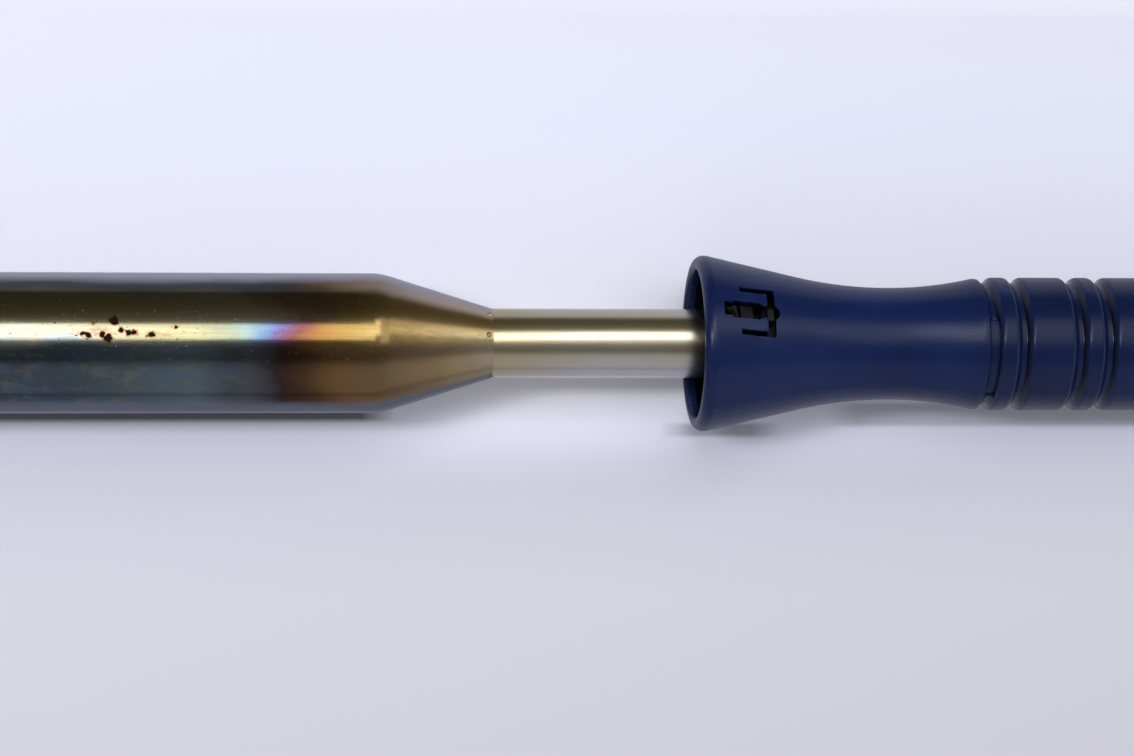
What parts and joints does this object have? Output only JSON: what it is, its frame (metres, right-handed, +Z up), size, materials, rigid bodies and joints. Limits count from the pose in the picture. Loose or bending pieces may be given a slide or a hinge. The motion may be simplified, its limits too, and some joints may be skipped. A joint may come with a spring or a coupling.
{
  "type": "electric soldering iron",
  "caption": "Heavy electric soldering iron with a chisel bit, a heated steel barrel, a thin neck tube and a flared, ridged handle, lying level.",
  "frame": {"origin": "centre of the iron's outer box in X and Y, on the bench that it lies on", "axes": "+X along the iron's axis from the bit towards the cord's end, +Z up from the bench"},
  "size_m": [0.4026, 0.0408, 0.0408],
  "materials": {
    "copper": "tinned and oxidised copper",
    "stainless": "stainless tube, heat-tinted",
    "plain_steel": "bare steel, out of sight",
    "zinc_plate": "zinc-plated steel",
    "resistance_wire": "dull oxidised nickel-chromium wire",
    "mica": "bonded mica sheet",
    "fibre": "glass-fibre mat",
    "ceramic": "unglazed steatite",
    "live_sleeve": "brown glass-fibre sleeving",
    "neutral_sleeve": "blue glass-fibre sleeving",
    "earth_sleeve": "green and yellow glass-fibre sleeving",
    "brass": "turned brass",
    "bushing_plastic": "heat-proof moulding",
    "handle_plastic": "satin navy moulding",
    "carrier_plastic": "off-white moulding",
    "black_rubber": "moulded rubber"
  },
  "bodies": {
    "iron": {"front_collar": "stainless", "barrel_shell": "stainless", "neck_tube": "stainless", "bit_socket_tube": "plain_steel", "socket_end_plug": "plain_steel", "joint_ferrule": "plain_steel", "retaining_clip": "plain_steel", "collar_screws": "zinc_plate", "earth_screw": "zinc_plate", "chassis_screw": "zinc_plate", "terminal_screws": "zinc_plate", "block_screw": "zinc_plate", "saddle_screws": "zinc_plate", "heating_coil": "resistance_wire", "inner_mica_sleeve": "mica", "outer_mica_sleeve": "mica", "fibre_blanket": "fibre", "ceramic_disc": "ceramic", "lead_beads": "ceramic", "terminal_block": "ceramic", "live_lead": "live_sleeve", "neutral_lead": "neutral_sleeve", "earth_lead": "earth_sleeve", "earth_tag": "brass", "terminal_clamps": "brass", "neck_bushing": "bushing_plastic", "handle_shell": "handle_plastic", "chassis_carrier": "carrier_plastic", "cord_saddle": "carrier_plastic", "cord_inlet_bush": "black_rubber"},
    "bit": {"soldering_bit": "copper"},
    "washer_left": {"lock_washer_left": "zinc_plate"},
    "screw_left": {"clamp_screw_left": "zinc_plate"},
    "washer_right": {"lock_washer_right": "zinc_plate"},
    "screw_right": {"clamp_screw_right": "zinc_plate"}
  },
  "joints": [
    {"name": "bit_slide", "type": "slide", "parent": "iron", "child": "bit", "axis": [-1, 0, 0], "range_m": [0, 0.09]},
    {"name": "washer_left_slide", "type": "slide", "parent": "iron", "child": "washer_left", "axis": [0, 0.5736, -0.8192], "range_m": [0, 0.004]},
    {"name": "screw_left_turn", "type": "hinge", "parent": "washer_left", "child": "screw_left", "pos_m": [-0.14425, 0, 0.0204], "axis": [0, 0.5736, -0.8192], "range_deg": [0, 1445]},
    {"name": "washer_right_slide", "type": "slide", "parent": "iron", "child": "washer_right", "axis": [0, -0.5736, -0.8192], "range_m": [0, 0.004]},
    {"name": "screw_right_turn", "type": "hinge", "parent": "washer_right", "child": "screw_right", "pos_m": [-0.14425, 0, 0.0204], "axis": [0, -0.5736, -0.8192], "range_deg": [0, 1445]}
  ],
  "couplings": [
    {"joint": "screw_left_turn", "follows": "washer_left_slide", "rad_per_m": 6283.2},
    {"joint": "screw_right_turn", "follows": "washer_right_slide", "rad_per_m": 6283.2}
  ]
}
